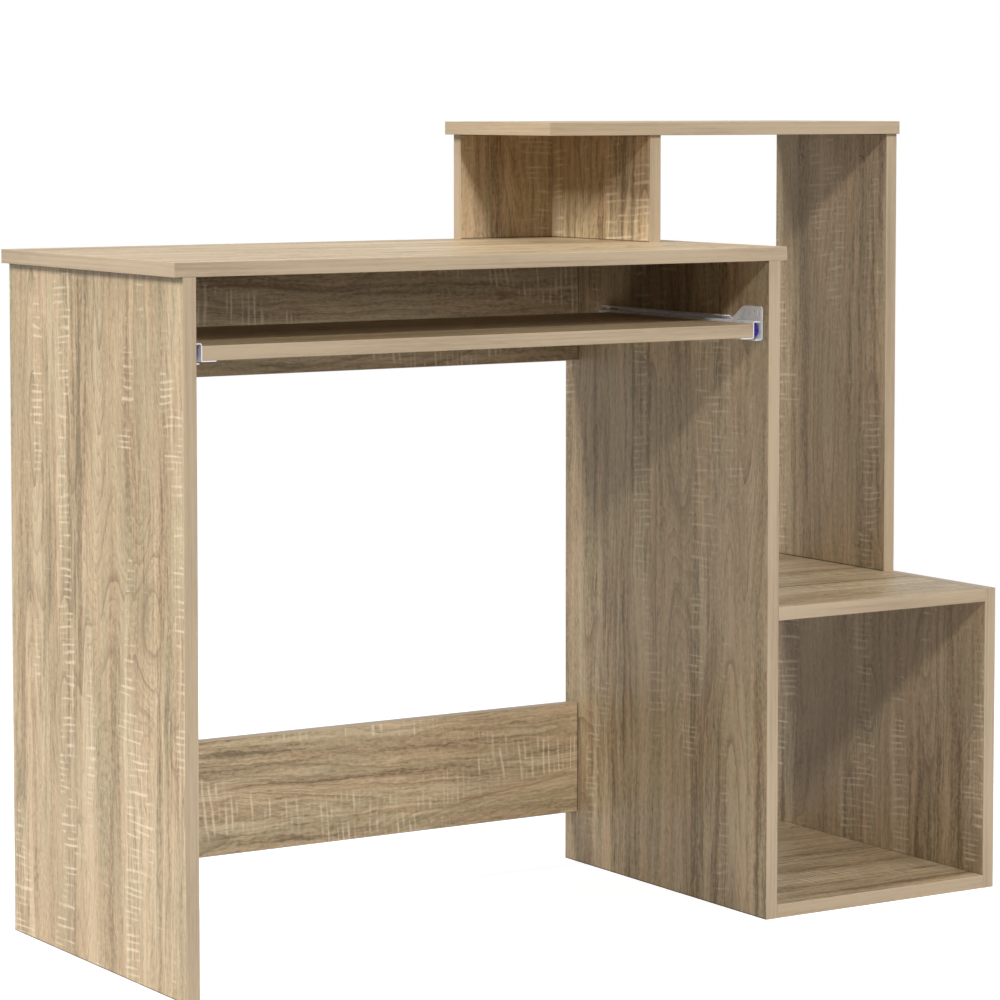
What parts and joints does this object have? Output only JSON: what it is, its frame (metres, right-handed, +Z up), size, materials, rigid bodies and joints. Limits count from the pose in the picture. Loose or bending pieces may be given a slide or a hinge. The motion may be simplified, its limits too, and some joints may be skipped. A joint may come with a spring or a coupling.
{
  "type": "computer desk with keyboard tray",
  "caption": "Panel desk with a keyboard tray on roller slides, and an open side cabinet whose tall panel and a stand carry a raised top shelf.",
  "frame": {"origin": "centre of the object's footprint, on the floor", "axes": "+X to the right as the user sits, along the width; +Y from the user to the back; +Z up"},
  "size_m": [1.049, 0.4, 0.875],
  "materials": {
    "oak_board": "embossed melamine, pale oak grain, matt",
    "oak_edging": "thin plastic edging, pale oak print, satin",
    "oak_cover": "self-adhesive foil, pale oak print, matt",
    "beech": "plain turned beech",
    "white_steel": "white epoxy powder coat, satin",
    "blue_plastic": "moulded nylon, satin",
    "zinc_steel": "bright zinc plating",
    "zinc_diecast": "plain die casting, dull"
  },
  "bodies": {
    "desk_frame": {"desktop": "oak_board", "left_side_panel": "oak_board", "right_side_panel": "oak_board", "back_rail": "oak_board", "lower_rail": "oak_board", "cabinet_outer_panel": "oak_board", "cabinet_bottom": "oak_board", "cabinet_shelf": "oak_board", "tall_panel": "oak_board", "top_shelf": "oak_board", "stand_upright": "oak_board", "stand_back_plate": "oak_board", "desktop_edging": "oak_edging", "left_side_edging": "oak_edging", "right_side_edging": "oak_edging", "back_rail_edging": "oak_edging", "lower_rail_edging": "oak_edging", "outer_panel_edging": "oak_edging", "cabinet_bottom_edging": "oak_edging", "cabinet_shelf_edging": "oak_edging", "tall_panel_edging": "oak_edging", "top_shelf_edging": "oak_edging", "stand_upright_edging": "oak_edging", "back_plate_edging": "oak_edging", "cam_bolts": "zinc_steel", "cam_locks": "zinc_diecast", "cam_covers": "oak_cover", "wood_dowels": "beech", "stand_screws": "zinc_steel", "slide_rail_left": "white_steel", "slide_rail_right": "white_steel", "front_rivets": "zinc_steel", "rail_screws": "zinc_steel"},
    "keyboard_tray": {"keyboard_tray": "oak_board", "tray_edging": "oak_edging", "slide_runner_left": "white_steel", "slide_runner_right": "white_steel", "rear_rivets": "zinc_steel", "tray_screws": "zinc_steel"},
    "front_roller_left": {"front_roller_left": "blue_plastic"},
    "front_roller_right": {"front_roller_right": "blue_plastic"},
    "rear_roller_left": {"rear_roller_left": "blue_plastic"},
    "rear_roller_right": {"rear_roller_right": "blue_plastic"}
  },
  "joints": [
    {"name": "tray_slide", "type": "slide", "parent": "desk_frame", "child": "keyboard_tray", "axis": [0, -1, 0], "range_m": [0, 0.22]},
    {"name": "front_roller_left_spin", "type": "hinge", "parent": "desk_frame", "child": "front_roller_left", "pos_m": [-0.4947, -0.176, 0.6489], "axis": [1, 0, 0], "continuous": true},
    {"name": "front_roller_right_spin", "type": "hinge", "parent": "desk_frame", "child": "front_roller_right", "pos_m": [0.1957, -0.176, 0.6489], "axis": [1, 0, 0], "continuous": true},
    {"name": "rear_roller_left_spin", "type": "hinge", "parent": "keyboard_tray", "child": "rear_roller_left", "pos_m": [-0.4947, 0.092, 0.6476], "axis": [1, 0, 0], "continuous": true},
    {"name": "rear_roller_right_spin", "type": "hinge", "parent": "keyboard_tray", "child": "rear_roller_right", "pos_m": [0.1957, 0.092, 0.6476], "axis": [1, 0, 0], "continuous": true}
  ],
  "couplings": [
    {"joint": "front_roller_left_spin", "follows": "tray_slide", "rad_per_m": 117.65},
    {"joint": "front_roller_right_spin", "follows": "tray_slide", "rad_per_m": 117.65},
    {"joint": "rear_roller_left_spin", "follows": "tray_slide", "rad_per_m": 117.65},
    {"joint": "rear_roller_right_spin", "follows": "tray_slide", "rad_per_m": 117.65}
  ]
}
